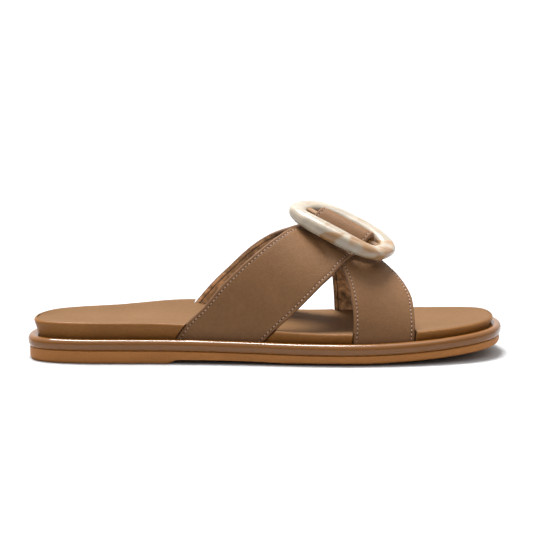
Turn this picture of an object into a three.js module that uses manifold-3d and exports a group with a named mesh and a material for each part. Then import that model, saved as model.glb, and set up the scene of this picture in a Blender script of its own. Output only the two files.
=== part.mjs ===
// Slide sandal, right foot. Two leather straps cross over the instep on a leather footbed,
// a glossy rolled welt runs round the sole, and a resin buckle rides where the straps cross.
// Millimetres. +X towards the toe, +Y towards the inner side of the foot, +Z up, floor at Z = 0.
import * as THREE from "three";
import { mergeVertices } from "three/addons/utils/BufferGeometryUtils.js";
import Module from "manifold-3d";

const wasm = await Module();
wasm.setup();

// Last and sole
const LENGTH = 262;               // heel to toe over the roll
const BALL_WIDTH = 92;            // over the roll at the ball
const HEEL_WIDTH = 63.2;          // over the roll at the heel
const HEEL_THICKNESS = 7;         // outsole under the heel
const BALL_THICKNESS = 5.6;       // outsole under the ball
const TOE_SPRING = 5.4;           // how far the toe tip lifts
const HEEL_TREAD = 2.2;           // depth of the heel block below the arch
const BREAST_SLOPE = 4;           // run of the slope at the front of the heel block
const BREAST_AT = -0.198;         // heel block's front, as a share of the length from the middle
const ARCH_END = 0.1;             // where the arch meets the floor, the same way
const TOE_BREAK = 0.183;          // where the toe starts to lift, the same way
const TOE_CURVE = 1.8;            // how late the lift comes
const SOLE_EDGE_ROUND = 1.5;      // rounding of the outsole's lower edge
const FOREFOOT_CROWN = 1.2;       // how far the forefoot's rim lies above its flat middle
const CROWN_RUN = 9;              // width of that rim
const SOLE_SETBACK = 1;           // outsole wall inside the roll's widest line
const WAIST_START = 0.25;         // where the width starts to grow, as a share from the heel
const WAIST_END = 0.65;           // where it has reached the ball's width

// Welt, a half-round roll
const ROLL_WIDTH = 5.6;
const ROLL_HEIGHT = 6.2;
const ROLL_INNER_DROP = 0.7;      // inner shoulder of the roll below its crown

// Footbed
const HEEL_BED = 15.2;            // footbed edge above the outsole at the heel
const BALL_BED = 11.5;            // the same at the ball
const TOE_BED = 10.8;             // the same at the toe
const ARCH_RISE = 4.3;            // inner edge above that at the arch
const HEEL_CUP = 3.4;             // hollow in the middle of the heel
const BALL_HOLLOW = 1.4;          // hollow in the middle of the forefoot
const BED_EDGE_ROUND = 1.7;
const BED_LEAN = 0.26;            // how far the footbed's wall leans out for each mm above the roll
const HEEL_END = -0.27;           // where the footbed starts to fall, as a share from the middle
const BALL_AT = 0.155;            // middle of the ball, the same way
const ARCH_AT = -0.145;           // highest part of the arch, the same way
const ARCH_REACH = 0.13;          // length over which the arch dies out

// Straps
const STRAP_WALL = 2.4;           // two plies of leather
const INSTEP_HEIGHT = 71.6;       // top of the straps above the floor at the rear of the crossing
const LAST_SQUARENESS = 2.2;      // 2 is an ellipse, more is squarer
const LAST_LEAN = 0.16;           // share by which the inner side stands higher and the outer lower
const JOIN_DEPTH = 0.4;           // how far the upper strap is pressed into the lower one
const DRAPE = 7;                  // run in which the upper strap climbs on to the lower one

// Buckle
const BUCKLE_LENGTH = 62.7;
const BUCKLE_WIDTH = 43.4;
const BUCKLE_SQUARENESS = 2.7;    // of its outer edge, as for the last
const OPENING_SQUARENESS = 3.2;   // of the opening in it
const RIM_AT_ENDS = 9.1;          // width of its rim at the ends of the bar
const RIM_AT_SIDES = 10.6;        // the same along the bar
const CREST_AT_ENDS = 2.7;        // top of its rim above the bar's middle
const CREST_AT_SIDES = 4.9;
const RIM_DEPTH = 4;              // bottom of its rim below the bar's middle
const RIM_FULLNESS = 0.85;        // 1 is an oval section, less is squarer
const BAR_WIDTH = 5;
const BAR_THICKNESS = 4;
const HUMP_HEIGHT = 4;            // the top strap's inner face above the bar's middle
const BUCKLE_AT = 0.153;          // its middle, as a share of the length in front of the sole's middle
const BUCKLE_ACROSS = 2;          // its middle, towards the inner side
const BUCKLE_RIDE = 6.1;          // its middle above the last
const BUCKLE_TURN = 25.5;         // degrees its bar is turned towards the outer toe
const BUCKLE_PITCH = 23.2;        // degrees its bar runs down towards the toe
const BUCKLE_ROLL = 1.5;          // degrees its inner side is raised

const CLEARANCE = 0.3;            // between pieces that meet
const STATIONS_PER_ROW = 3;       // steps between two rows of the sole's outline
const COLUMNS = 8;                // steps across the sole

// Sole outline at the roll's widest line. along is a share of the length from the heel, and
// outer and inner are shares of the half width there, which goes from heel to ball width.
const OUTLINE = [
  { along: 0.000, outer: -0.411, inner: -0.411 },
  { along: 0.012, outer: -0.839, inner: 0.047 },
  { along: 0.045, outer: -1.060, inner: 0.443 },
  { along: 0.110, outer: -1.187, inner: 0.696 },
  { along: 0.200, outer: -1.209, inner: 0.791 },
  { along: 0.330, outer: -1.166, inner: 0.801 },
  { along: 0.460, outer: -1.043, inner: 0.776 },
  { along: 0.580, outer: -1.000, inner: 0.848 },
  { along: 0.680, outer: -1.000, inner: 0.967 },
  { along: 0.780, outer: -0.948, inner: 0.998 },
  { along: 0.870, outer: -0.826, inner: 0.891 },
  { along: 0.940, outer: -0.641, inner: 0.728 },
  { along: 0.982, outer: -0.391, inner: 0.511 },
  { along: 1.000, outer: 0.043, inner: 0.043 },
];

// Top line of the straps. along is a share of the length from the sole's middle,
// height a share of the instep height.
const RIDGE = [
  { along: -0.230, height: 1.292 },
  { along: -0.053, height: 1.149 },
  { along: 0.061, height: 1.000 },
  { along: 0.162, height: 0.852 },
  { along: 0.240, height: 0.732 },
  { along: 0.317, height: 0.598 },
  { along: 0.382, height: 0.461 },
];

// Edges of the two straps. around goes from 0 at the outer side of the sole over the instep
// to 1 at the inner side, and rear and front are shares of the length from the sole's middle.
const TOP_STRAP = [
  { around: 0.000, rear: -0.199, front: -0.020 },
  { around: 0.058, rear: -0.163, front: 0.021 },
  { around: 0.101, rear: -0.129, front: 0.050 },
  { around: 0.158, rear: -0.095, front: 0.082 },
  { around: 0.227, rear: -0.054, front: 0.114 },
  { around: 0.304, rear: -0.012, front: 0.146 },
  { around: 0.398, rear: 0.029, front: 0.176 },
  { around: 0.460, rear: 0.051, front: 0.205 },
  { around: 0.530, rear: 0.084, front: 0.222 },
  { around: 0.600, rear: 0.105, front: 0.220 },
  { around: 0.740, rear: 0.132, front: 0.248 },
  { around: 0.860, rear: 0.144, front: 0.268 },
  { around: 1.000, rear: 0.151, front: 0.275 },
];
const LOWER_STRAP = [
  { around: 0.000, rear: 0.177, front: 0.307 },
  { around: 0.125, rear: 0.181, front: 0.309 },
  { around: 0.244, rear: 0.174, front: 0.307 },
  { around: 0.305, rear: 0.165, front: 0.303 },
  { around: 0.370, rear: 0.150, front: 0.291 },
  { around: 0.434, rear: 0.132, front: 0.272 },
  { around: 0.500, rear: 0.109, front: 0.244 },
  { around: 0.600, rear: 0.079, front: 0.210 },
  { around: 0.682, rear: 0.051, front: 0.184 },
  { around: 0.751, rear: 0.009, front: 0.157 },
  { around: 0.812, rear: -0.034, front: 0.131 },
  { around: 0.868, rear: -0.077, front: 0.100 },
  { around: 0.916, rear: -0.121, front: 0.069 },
  { around: 1.000, rear: -0.196, front: 0.012 },
];

const { lerp, degToRad } = THREE.MathUtils;
const clamp01 = (value) => Math.min(Math.max(value, 0), 1);

function ease(from, to, value) {
  const t = clamp01((value - from) / (to - from));
  return t * t * (3 - 2 * t);
}

// A smooth curve through one column of a table, read at a place in its key column.
function read(table, key, column, at) {
  const last = table.length - 1;
  let i = 0;
  while (i < last - 1 && at > table[i + 1][key]) i += 1;
  const slope = (k) => {
    const low = Math.max(k - 1, 0);
    const high = Math.min(k + 1, last);
    return (table[high][column] - table[low][column]) / (table[high][key] - table[low][key]);
  };
  const step = table[i + 1][key] - table[i][key];
  const t = clamp01((at - table[i][key]) / step);
  const start = table[i][column];
  const end = table[i + 1][column];
  return start * (1 + 2 * t) * (1 - t) ** 2 + end * (3 - 2 * t) * t ** 2
    + slope(i) * step * t * (1 - t) ** 2 - slope(i + 1) * step * (1 - t) * t ** 2;
}

// The sole's outline, a closed ring of stations from the heel along the inner side to the toe
// and back along the outer side. Stations j and STATIONS - j lie opposite each other.
const halfWidth = (along) => lerp(HEEL_WIDTH, BALL_WIDTH, ease(WAIST_START, WAIST_END, along)) / 2;
const innerRows = OUTLINE.map((row) => [row.along, row.inner]);
const outerRows = OUTLINE.slice(1, -1).reverse().map((row) => [row.along, row.outer]);
const outlineCurve = new THREE.CatmullRomCurve3(
  [...innerRows, ...outerRows].map(([along, across]) => (
    new THREE.Vector3((along - 0.5) * LENGTH, across * halfWidth(along), 0))),
  true,
  "centripetal",
);
const STATIONS = outlineCurve.points.length * STATIONS_PER_ROW;
const HALF = STATIONS / 2;

const rawOutline = [];
for (let j = 0; j < STATIONS; j += 1) rawOutline.push(outlineCurve.getPoint(j / STATIONS));
const outlineBox = new THREE.Box3().setFromPoints(rawOutline);
const boxMiddle = outlineBox.getCenter(new THREE.Vector3());
const outline = rawOutline.map((point) => point.clone().sub(boxMiddle));
const inwards = outline.map((point, j) => {
  const before = outline[(j + STATIONS - 1) % STATIONS];
  const after = outline[(j + 1) % STATIONS];
  return new THREE.Vector3(after.y - before.y, before.x - after.x, 0).normalize();
});

const insetPoint = (j, inset) => outline[j].clone().addScaledVector(inwards[j], inset);

// Heights along the sole
const toeLift = (x) => TOE_SPRING * clamp01((x / LENGTH - TOE_BREAK) / (0.5 - TOE_BREAK)) ** TOE_CURVE;
const towardsBall = (x) => ease(HEEL_END, BALL_AT, x / LENGTH);
const soleTop = (x) => toeLift(x) + lerp(HEEL_THICKNESS, BALL_THICKNESS, towardsBall(x));

function bedEdge(x, y) {
  const rear = lerp(HEEL_BED, BALL_BED, towardsBall(x));
  const wall = lerp(rear, TOE_BED, ease(TOE_BREAK, 0.5, x / LENGTH));
  const arch = Math.exp(-(((x / LENGTH - ARCH_AT) / ARCH_REACH) ** 2)) * ease(-0.1, 0.3, y / BALL_WIDTH);
  return soleTop(x) + wall + ARCH_RISE * arch;
}

// A closed body from triangles, turned so that its faces point out.
function body(vertices, faces) {
  let volume = 0;
  const cross = new THREE.Vector3();
  for (const [a, b, c] of faces) {
    volume += vertices[a].dot(cross.crossVectors(vertices[b], vertices[c]));
  }
  const geometry = new THREE.BufferGeometry();
  const positions = vertices.flatMap((vertex) => vertex.toArray());
  geometry.setAttribute("position", new THREE.Float32BufferAttribute(positions, 3));
  geometry.setIndex(faces.flatMap(([a, b, c]) => (volume < 0 ? [a, c, b] : [a, b, c])));
  return mergeVertices(geometry, 1e-4);
}

function toSolid(geometry) {
  const source = geometry.clone();
  source.deleteAttribute("normal");
  source.deleteAttribute("uv");
  const merged = mergeVertices(source, 1e-4);
  return new wasm.Manifold(new wasm.Mesh({
    numProp: 3,
    vertProperties: new Float32Array(merged.attributes.position.array),
    triVerts: new Uint32Array(merged.index.array),
  }));
}

function toGeometry(solid) {
  const mesh = solid.getMesh();
  const geometry = new THREE.BufferGeometry();
  geometry.setAttribute("position", new THREE.BufferAttribute(new Float32Array(mesh.vertProperties), 3));
  geometry.setIndex(new THREE.BufferAttribute(new Uint32Array(mesh.triVerts), 1));
  return geometry;
}

// Stations joined ring to ring.
function joinRings(faces, from, to, count) {
  for (let j = 0; j < count; j += 1) {
    const k = (j + 1) % count;
    faces.push([from + j, to + j, to + k], [from + j, to + k, from + k]);
  }
}

// A ring closed by rungs between opposite stations. height(x, y, across) lifts the points
// between, where across goes from 0 at the inner side to 1 at the outer side.
function closeRing(vertices, faces, start, height, facing) {
  const rung = (j) => {
    if (j === 0 || j === HALF) return [start + j];
    const inner = vertices[start + j];
    const outer = vertices[start + STATIONS - j];
    const row = [start + j];
    for (let c = 1; c < COLUMNS; c += 1) {
      const point = inner.clone().lerp(outer, c / COLUMNS);
      point.z = height(point.x, point.z, c / COLUMNS);
      row.push(vertices.push(point) - 1);
    }
    row.push(start + STATIONS - j);
    return row;
  };
  const add = (a, b, c) => faces.push(facing > 0 ? [a, b, c] : [a, c, b]);
  let row = rung(0);
  for (let j = 1; j <= HALF; j += 1) {
    const next = rung(j);
    for (let c = 0; c < COLUMNS; c += 1) {
      if (next.length > 1) add(row[Math.min(c, row.length - 1)], next[c + 1], next[c]);
      if (row.length > 1) add(row[c], row[c + 1], next[Math.min(c + 1, next.length - 1)]);
    }
    row = next;
  }
}

// Layers of the sole: each level is a ring at an inset and a height, from the bottom up.
function layeredSole(levels, bottomHeight, topHeight) {
  const vertices = [];
  const faces = [];
  levels.forEach(({ inset, z }, i) => {
    for (let j = 0; j < STATIONS; j += 1) {
      const edge = outline[j];
      const point = insetPoint(j, inset(edge.x, edge.y));
      point.z = z(point.x, point.y);
      vertices.push(point);
    }
    if (i > 0) joinRings(faces, (i - 1) * STATIONS, i * STATIONS, STATIONS);
  });
  closeRing(vertices, faces, 0, bottomHeight, -1);
  closeRing(vertices, faces, (levels.length - 1) * STATIONS, topHeight, 1);
  return body(vertices, faces);
}

// Outsole: a rubber sheet with a rounded lower edge, a heel block and a hollow under the arch.
function outsoleGeometry() {
  const wall = SOLE_SETBACK;
  const crown = (x) => FOREFOOT_CROWN * ease(ARCH_AT, ARCH_END, x / LENGTH);
  const levels = [{ inset: () => wall + SOLE_EDGE_ROUND + CROWN_RUN, z: toeLift }];
  for (const degrees of [0, 30, 60, 90]) {
    const angle = degToRad(degrees);
    levels.push({
      inset: () => wall + SOLE_EDGE_ROUND * (1 - Math.sin(angle)),
      z: (x) => toeLift(x) + crown(x) + SOLE_EDGE_ROUND * (1 - Math.cos(angle)),
    });
  }
  levels.push({ inset: () => wall, z: soleTop });
  const sheet = toSolid(layeredSole(levels, (x) => toeLift(x), (x) => soleTop(x)));

  const breast = BREAST_AT * LENGTH;
  const archEnd = ARCH_END * LENGTH;
  const hollow = new THREE.Shape();
  hollow.moveTo(breast, -HEEL_TREAD);
  hollow.lineTo(breast, 0);
  hollow.quadraticCurveTo(breast + BREAST_SLOPE / 2, HEEL_TREAD, breast + BREAST_SLOPE, HEEL_TREAD);
  hollow.lineTo(breast + (archEnd - breast) / 3, HEEL_TREAD);
  hollow.quadraticCurveTo(archEnd - (archEnd - breast) / 3, HEEL_TREAD / 2, archEnd, 0);
  hollow.lineTo(archEnd, -HEEL_TREAD);
  hollow.closePath();
  const cut = { depth: BALL_WIDTH * 2, bevelEnabled: false, curveSegments: 6 };
  const cutter = new THREE.ExtrudeGeometry(hollow, cut);
  cutter.rotateX(Math.PI / 2);
  cutter.translate(0, BALL_WIDTH, 0);
  return toGeometry(sheet.subtract(toSolid(cutter)));
}

// Welt: a closed half-round roll, flat below and inside, carried round the outline.
function weltGeometry() {
  const middle = (ROLL_HEIGHT + CLEARANCE) / 2;
  const reach = ROLL_WIDTH / 2;
  const profile = [{ inset: ROLL_WIDTH, rise: CLEARANCE }, { inset: reach / 2, rise: CLEARANCE }];
  for (const degrees of [-60, -35, -10, 15, 40, 65, 90]) {
    const turn = degToRad(degrees);
    profile.push({
      inset: reach - reach * Math.cos(turn),
      rise: middle + (middle - CLEARANCE) * Math.sin(turn),
    });
  }
  profile.push({ inset: ROLL_WIDTH, rise: ROLL_HEIGHT - ROLL_INNER_DROP });
  const vertices = [];
  const faces = [];
  profile.forEach(({ inset, rise }, i) => {
    for (let j = 0; j < STATIONS; j += 1) {
      const point = insetPoint(j, inset);
      point.z = soleTop(point.x) + rise;
      vertices.push(point);
    }
    joinRings(faces, i * STATIONS, ((i + 1) % profile.length) * STATIONS, STATIONS);
  });
  return body(vertices, faces);
}

// Last: the outer face of the straps. around goes from the outer side of the sole to the inner.
const STRAP_INSET = ROLL_WIDTH + CLEARANCE;
const insideEdge = [];
for (let j = 0; j < STATIONS; j += 1) insideEdge.push(insetPoint(j, STRAP_INSET));

function edgeAt(x, step) {
  let j = HALF;
  while (insideEdge[(j + step + STATIONS) % STATIONS].x > x) j += step;
  const here = insideEdge[(j + STATIONS) % STATIONS];
  const next = insideEdge[(j + step + STATIONS) % STATIONS];
  return lerp(here.y, next.y, (x - here.x) / (next.x - here.x));
}

function lastPoint(x, around) {
  const outer = edgeAt(x, 1);
  const inner = edgeAt(x, -1);
  const foot = soleTop(x) + CLEARANCE;
  const top = INSTEP_HEIGHT * read(RIDGE, "along", "height", x / LENGTH);
  const angle = Math.PI * around;
  const power = 2 / LAST_SQUARENESS;
  const side = -Math.sign(Math.cos(angle)) * Math.abs(Math.cos(angle)) ** power;
  const rise = Math.abs(Math.sin(angle)) ** power * (1 + LAST_LEAN * side);
  return new THREE.Vector3(x, (outer + inner) / 2 + (side * (inner - outer)) / 2, foot + rise * (top - foot));
}

function lastNormal(x, around) {
  const step = 0.004;
  const from = clamp01(around - step);
  const to = clamp01(around + step);
  const along = lastPoint(x + 1, around).sub(lastPoint(x - 1, around));
  const across = lastPoint(x, to).sub(lastPoint(x, from));
  return along.cross(across).normalize();
}

// Buckle frame: bar axis towards the outer toe, cross axis towards the inner side, and up.
function buckleFrame() {
  const turn = degToRad(BUCKLE_TURN);
  const pitch = degToRad(BUCKLE_PITCH);
  const bar = new THREE.Vector3(
    Math.cos(turn) * Math.cos(pitch), -Math.sin(turn) * Math.cos(pitch), -Math.sin(pitch));
  const level = new THREE.Vector3(Math.sin(turn), Math.cos(turn), 0);
  const cross = level.applyAxisAngle(bar, degToRad(BUCKLE_ROLL));
  const up = bar.clone().cross(cross);
  const x = BUCKLE_AT * LENGTH;
  let around = 0.5;
  while (lastPoint(x, around).y < BUCKLE_ACROSS) around += 0.002;
  const middle = lastPoint(x, around).addScaledVector(up, BUCKLE_RIDE);
  return { bar, cross, up, middle };
}
const buckle = buckleFrame();

const strapX = (table, around, share) => LENGTH * lerp(
  read(table, "around", "rear", around), read(table, "around", "front", around), share);

// How far the top strap is lifted off the last where it lies on the lower one.
function climb(x, around) {
  const fromRear = x - strapX(LOWER_STRAP, around, 0);
  const fromFront = strapX(LOWER_STRAP, around, 1) - x;
  return (STRAP_WALL - JOIN_DEPTH) * ease(-DRAPE, 0, Math.min(fromRear, fromFront));
}

// Between the sides of the rim, the top strap's inner face rises over the bar.
const HUMP_REACH = BUCKLE_WIDTH / 2 - RIM_AT_SIDES - CLEARANCE;
function hump(point) {
  const local = point.clone().sub(buckle.middle);
  const share = 1 - ease(0, HUMP_REACH, Math.abs(local.dot(buckle.cross)));
  return point.addScaledVector(buckle.up, share * (HUMP_HEIGHT - local.dot(buckle.up)));
}

const innerFaces = {
  top: (x, around) => hump(
    lastPoint(x, around).addScaledVector(lastNormal(x, around), climb(x, around) - STRAP_WALL)),
  lower: (x, around) => lastPoint(x, around).addScaledVector(lastNormal(x, around), -STRAP_WALL),
};

// A strap as a wall between two faces of a grid. margin widens it, near and far are how far
// its faces lie from the inner face, and sunk carries its foot straight down.
function strapSolid(strap, { from, to, margin, near, far, sunk }) {
  const { table, innerFace, lanes, slant } = strap;
  const grid = [];
  for (let i = from * strap.steps; i <= to * strap.steps; i += 1) {
    const step = i / strap.steps;
    const row = [];
    for (let lane = 0; lane <= lanes; lane += 1) {
      const aside = (2 * lane) / lanes - 1;
      const around = step + slant * aside * step * (1 - step);
      row.push(innerFace(strapX(table, around, lane / lanes) + margin * aside, around));
    }
    grid.push(row);
  }
  const below = (row) => row.map((point) => point.clone().setZ(point.z - sunk));
  if (sunk > 0 && from === 0) grid.unshift(below(grid[0]));
  if (sunk > 0 && to === 1) grid.push(below(grid[grid.length - 1]));
  const steps = grid.length - 1;
  const rows = steps + 1;
  const columns = lanes + 1;
  const at = (i, lane) => grid[Math.min(Math.max(i, 0), steps)][Math.min(Math.max(lane, 0), lanes)];
  const vertices = [];
  for (const reach of [near, far]) {
    for (let i = 0; i < rows; i += 1) {
      for (let lane = 0; lane < columns; lane += 1) {
        const along = at(i, lane + 1).clone().sub(at(i, lane - 1));
        const across = at(i + 1, lane).clone().sub(at(i - 1, lane));
        vertices.push(at(i, lane).clone().addScaledVector(along.cross(across).normalize(), reach));
      }
    }
  }
  const faces = [];
  const index = (layer, i, lane) => (layer * rows + i) * columns + lane;
  const quad = (a, b, c, d) => faces.push([a, b, c], [a, c, d]);
  for (let i = 0; i < steps; i += 1) {
    for (let lane = 0; lane < lanes; lane += 1) {
      quad(index(1, i, lane), index(1, i, lane + 1), index(1, i + 1, lane + 1), index(1, i + 1, lane));
      quad(index(0, i, lane), index(0, i + 1, lane), index(0, i + 1, lane + 1), index(0, i, lane + 1));
    }
    quad(index(0, i, 0), index(1, i, 0), index(1, i + 1, 0), index(0, i + 1, 0));
    quad(index(0, i, lanes), index(0, i + 1, lanes), index(1, i + 1, lanes), index(1, i, lanes));
  }
  for (let lane = 0; lane < lanes; lane += 1) {
    quad(index(0, 0, lane), index(0, 0, lane + 1), index(1, 0, lane + 1), index(1, 0, lane));
    quad(index(0, steps, lane), index(1, steps, lane), index(1, steps, lane + 1), index(0, steps, lane + 1));
  }
  return toSolid(body(vertices, faces));
}

// The straps' grids: steps round the last and lanes across. slant turns the rows of the top strap
// along the buckle's bar. Each foot takes a share of the steps.
const FOOT_SHARE = 1 / 8;
const STRAPS = [
  { table: LOWER_STRAP, innerFace: innerFaces.lower, steps: 48, lanes: 5, slant: 0 },
  { table: TOP_STRAP, innerFace: innerFaces.top, steps: 96, lanes: 6, slant: -0.28 },
];

function upperGeometry() {
  const whole = { from: 0, to: 1, margin: 0, near: 0, far: STRAP_WALL, sunk: 0 };
  const [lower, top] = STRAPS.map((strap) => strapSolid(strap, whole));
  return toGeometry(lower.add(top));
}

// Footbed: a wall that leans out above the roll, a soft edge, a heel cup and an arch.
function footbedGeometry() {
  const wall = ROLL_WIDTH + CLEARANCE;
  const overhang = (x, y) => BED_LEAN * (bedEdge(x, y) - soleTop(x) - ROLL_HEIGHT);
  const edge = (x, y, angle) => wall - overhang(x, y) + BED_EDGE_ROUND * (1 - Math.cos(angle));
  const levels = [
    { inset: () => wall, z: (x) => soleTop(x) + CLEARANCE },
    { inset: () => wall, z: (x) => soleTop(x) + ROLL_HEIGHT },
  ];
  for (const degrees of [0, 35, 65, 90]) {
    const angle = degToRad(degrees);
    levels.push({
      inset: (x, y) => edge(x, y, angle),
      z: (x, y) => bedEdge(x, y) - BED_EDGE_ROUND * (1 - Math.sin(angle)),
    });
  }
  const hollow = (x) => lerp(HEEL_CUP, BALL_HOLLOW, towardsBall(x));
  const ends = (x) => 1 - Math.abs((2 * x) / LENGTH) ** 6;
  const bottom = (x) => soleTop(x) + CLEARANCE;
  const dish = (across) => (1 - (2 * across - 1) ** 4) ** 1.5;
  const top = (x, z, across) => z - hollow(x) * ends(x) * dish(across);
  let solid = toSolid(layeredSole(levels, bottom, top));

  const notch = { margin: CLEARANCE * 1.5, near: -CLEARANCE, far: STRAP_WALL * 3, sunk: STRAP_WALL };
  for (const strap of STRAPS) {
    solid = solid.subtract(strapSolid(strap, { ...notch, from: 0, to: FOOT_SHARE }));
    solid = solid.subtract(strapSolid(strap, { ...notch, from: 1 - FOOT_SHARE, to: 1 }));
  }
  return toGeometry(solid);
}

// Buckle: a rounded rim between two squarish ovals, highest along its sides, with a bar across.
function buckleGeometry() {
  const around = 64;
  const section = 12;
  const bend = (value, exponent) => Math.sign(value) * Math.abs(value) ** exponent;
  const oval = (length, width, squareness, angle) => new THREE.Vector3(
    (length / 2) * bend(Math.cos(angle), 2 / squareness),
    (width / 2) * bend(Math.sin(angle), 2 / squareness),
    0,
  );
  const openingLength = BUCKLE_LENGTH - 2 * RIM_AT_ENDS;
  const openingWidth = BUCKLE_WIDTH - 2 * RIM_AT_SIDES;
  const vertices = [];
  const faces = [];
  for (let i = 0; i < section; i += 1) {
    const tilt = (2 * Math.PI * i) / section;
    const outwards = (1 + bend(Math.cos(tilt), RIM_FULLNESS)) / 2;
    const rise = bend(Math.sin(tilt), RIM_FULLNESS);
    for (let j = 0; j < around; j += 1) {
      const angle = (2 * Math.PI * j) / around;
      const crest = lerp(CREST_AT_ENDS, CREST_AT_SIDES, Math.sin(angle) ** 2);
      const point = oval(openingLength, openingWidth, OPENING_SQUARENESS, angle);
      point.lerp(oval(BUCKLE_LENGTH, BUCKLE_WIDTH, BUCKLE_SQUARENESS, angle), outwards);
      point.z = rise * (rise > 0 ? crest : RIM_DEPTH);
      vertices.push(point);
    }
    joinRings(faces, i * around, ((i + 1) % section) * around, around);
  }
  const ring = toSolid(body(vertices, faces));
  const bar = new THREE.BoxGeometry(BUCKLE_LENGTH - RIM_AT_ENDS, BAR_WIDTH, BAR_THICKNESS);
  return toGeometry(ring.add(toSolid(bar)));
}

function piece(name, geometry, color, roughness) {
  geometry.computeVertexNormals();
  const material = new THREE.MeshStandardMaterial({ color, roughness, metalness: 0 });
  const mesh = new THREE.Mesh(geometry, material);
  mesh.name = name;
  return mesh;
}

const sandal = new THREE.Group();
sandal.add(piece("outsole", outsoleGeometry(), 0x91613a, 0.75));
sandal.add(piece("welt", weltGeometry(), 0x8a5426, 0.15));
sandal.add(piece("footbed", footbedGeometry(), 0xb78e6c, 0.7));
sandal.add(piece("upper", upperGeometry(), 0x7d5f46, 0.6));
const buckleMesh = piece("buckle", buckleGeometry(), 0xd9cfbe, 0.2);
buckleMesh.position.copy(buckle.middle);
buckleMesh.quaternion.setFromRotationMatrix(
  new THREE.Matrix4().makeBasis(buckle.bar, buckle.cross, buckle.up));
sandal.add(buckleMesh);

export default sandal;
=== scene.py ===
import bmesh
import bpy
import numpy as np
from bpy.props import FloatProperty, FloatVectorProperty, PointerProperty
from mathutils import Matrix


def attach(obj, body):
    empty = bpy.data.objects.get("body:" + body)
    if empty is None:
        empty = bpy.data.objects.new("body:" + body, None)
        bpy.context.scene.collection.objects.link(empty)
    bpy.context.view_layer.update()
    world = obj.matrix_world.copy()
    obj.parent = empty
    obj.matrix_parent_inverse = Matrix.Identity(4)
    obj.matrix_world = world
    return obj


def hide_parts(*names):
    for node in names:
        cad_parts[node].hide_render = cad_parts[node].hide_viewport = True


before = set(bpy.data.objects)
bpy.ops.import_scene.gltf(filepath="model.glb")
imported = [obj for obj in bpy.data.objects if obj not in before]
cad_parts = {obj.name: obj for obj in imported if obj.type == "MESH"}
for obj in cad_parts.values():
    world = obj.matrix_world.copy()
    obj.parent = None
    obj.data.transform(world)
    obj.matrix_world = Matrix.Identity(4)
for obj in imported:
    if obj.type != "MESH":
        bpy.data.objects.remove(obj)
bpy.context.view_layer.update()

bl_info = {
    "name": "Slide sandal",
    "version": (1, 0, 0),
    "blender": (4, 5, 0),
    "location": "View3D > Sidebar > Sandal",
    "description": "Builds a leather slide sandal with crossed straps, a rolled welt and a resin buckle",
    "category": "Add Mesh",
}

# The sole's outline at the welt's widest line. along is a share of the length from the heel,
# and outer and inner are shares of the half width there.
OUTLINE = np.array([
    (0.000, -0.411, -0.411),
    (0.012, -0.839, 0.047),
    (0.045, -1.060, 0.443),
    (0.110, -1.187, 0.696),
    (0.200, -1.209, 0.791),
    (0.330, -1.166, 0.801),
    (0.460, -1.043, 0.776),
    (0.580, -1.000, 0.848),
    (0.680, -1.000, 0.967),
    (0.780, -0.948, 0.998),
    (0.870, -0.826, 0.891),
    (0.940, -0.641, 0.728),
    (0.982, -0.391, 0.511),
    (1.000, 0.043, 0.043),
], dtype=[("along", float), ("outer", float), ("inner", float)])

# Top line of the straps. along is a share of the length from the sole's middle, and height
# a share of the instep height.
RIDGE = np.array([
    (-0.230, 1.292),
    (-0.053, 1.149),
    (0.061, 1.000),
    (0.162, 0.852),
    (0.240, 0.732),
    (0.317, 0.598),
    (0.382, 0.461),
], dtype=[("along", float), ("height", float)])

# Edges of the straps. around goes from 0 at the outer side of the sole over the instep to 1 at
# the inner side, and rear and front are shares of the length from the sole's middle.
EDGES = [("around", float), ("rear", float), ("front", float)]
TOP_STRAP = np.array([
    (0.000, -0.199, -0.020),
    (0.058, -0.163, 0.021),
    (0.101, -0.129, 0.050),
    (0.158, -0.095, 0.082),
    (0.227, -0.054, 0.114),
    (0.304, -0.012, 0.146),
    (0.398, 0.029, 0.176),
    (0.460, 0.051, 0.205),
    (0.530, 0.084, 0.222),
    (0.600, 0.105, 0.220),
    (0.740, 0.132, 0.248),
    (0.860, 0.144, 0.268),
    (1.000, 0.151, 0.275),
], dtype=EDGES)
LOWER_STRAP = np.array([
    (0.000, 0.177, 0.307),
    (0.125, 0.181, 0.309),
    (0.244, 0.174, 0.307),
    (0.305, 0.165, 0.303),
    (0.370, 0.150, 0.291),
    (0.434, 0.132, 0.272),
    (0.500, 0.109, 0.244),
    (0.600, 0.079, 0.210),
    (0.682, 0.051, 0.184),
    (0.751, 0.009, 0.157),
    (0.812, -0.034, 0.131),
    (0.868, -0.077, 0.100),
    (0.916, -0.121, 0.069),
    (1.000, -0.196, 0.012),
], dtype=EDGES)

# Sizes that follow from how such a sandal is made, in millimetres, and the buckle's angles in degrees.
CLEARANCE = 0.3
SOLE_SETBACK = 1.0
HEEL_TREAD = 2.2
BREAST_SLOPE = 4.0
SOLE_EDGE_ROUND = 1.5
FOREFOOT_CROWN = 1.2
CROWN_RUN = 9.0
ARCH_RISE = 4.3
HEEL_CUP = 3.4
BALL_HOLLOW = 1.4
BED_EDGE_ROUND = 1.7
BED_LEAN = 0.26
WELT_INNER_DROP = 0.7
WELT_UNDER_FULLNESS = 0.45
WELT_SEAT = 0.05
JOIN_DEPTH = 0.4
DRAPE = 7.0
BAR_WIDTH = 5.0
BAR_THICKNESS = 4.0
HUMP_HEIGHT = 4.0
RIM_DEPTH = 4.0
RIM_FULLNESS = 0.85
BUCKLE_RIDE = 6.1
BUCKLE_ACROSS = 2.0
BUCKLE_TURN = 25.5
BUCKLE_PITCH = 23.2
BUCKLE_ROLL = 1.5
STRAP_EDGE_ROUND = 1.0
SOLE_TOP_CHAMFER = 0.4

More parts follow.
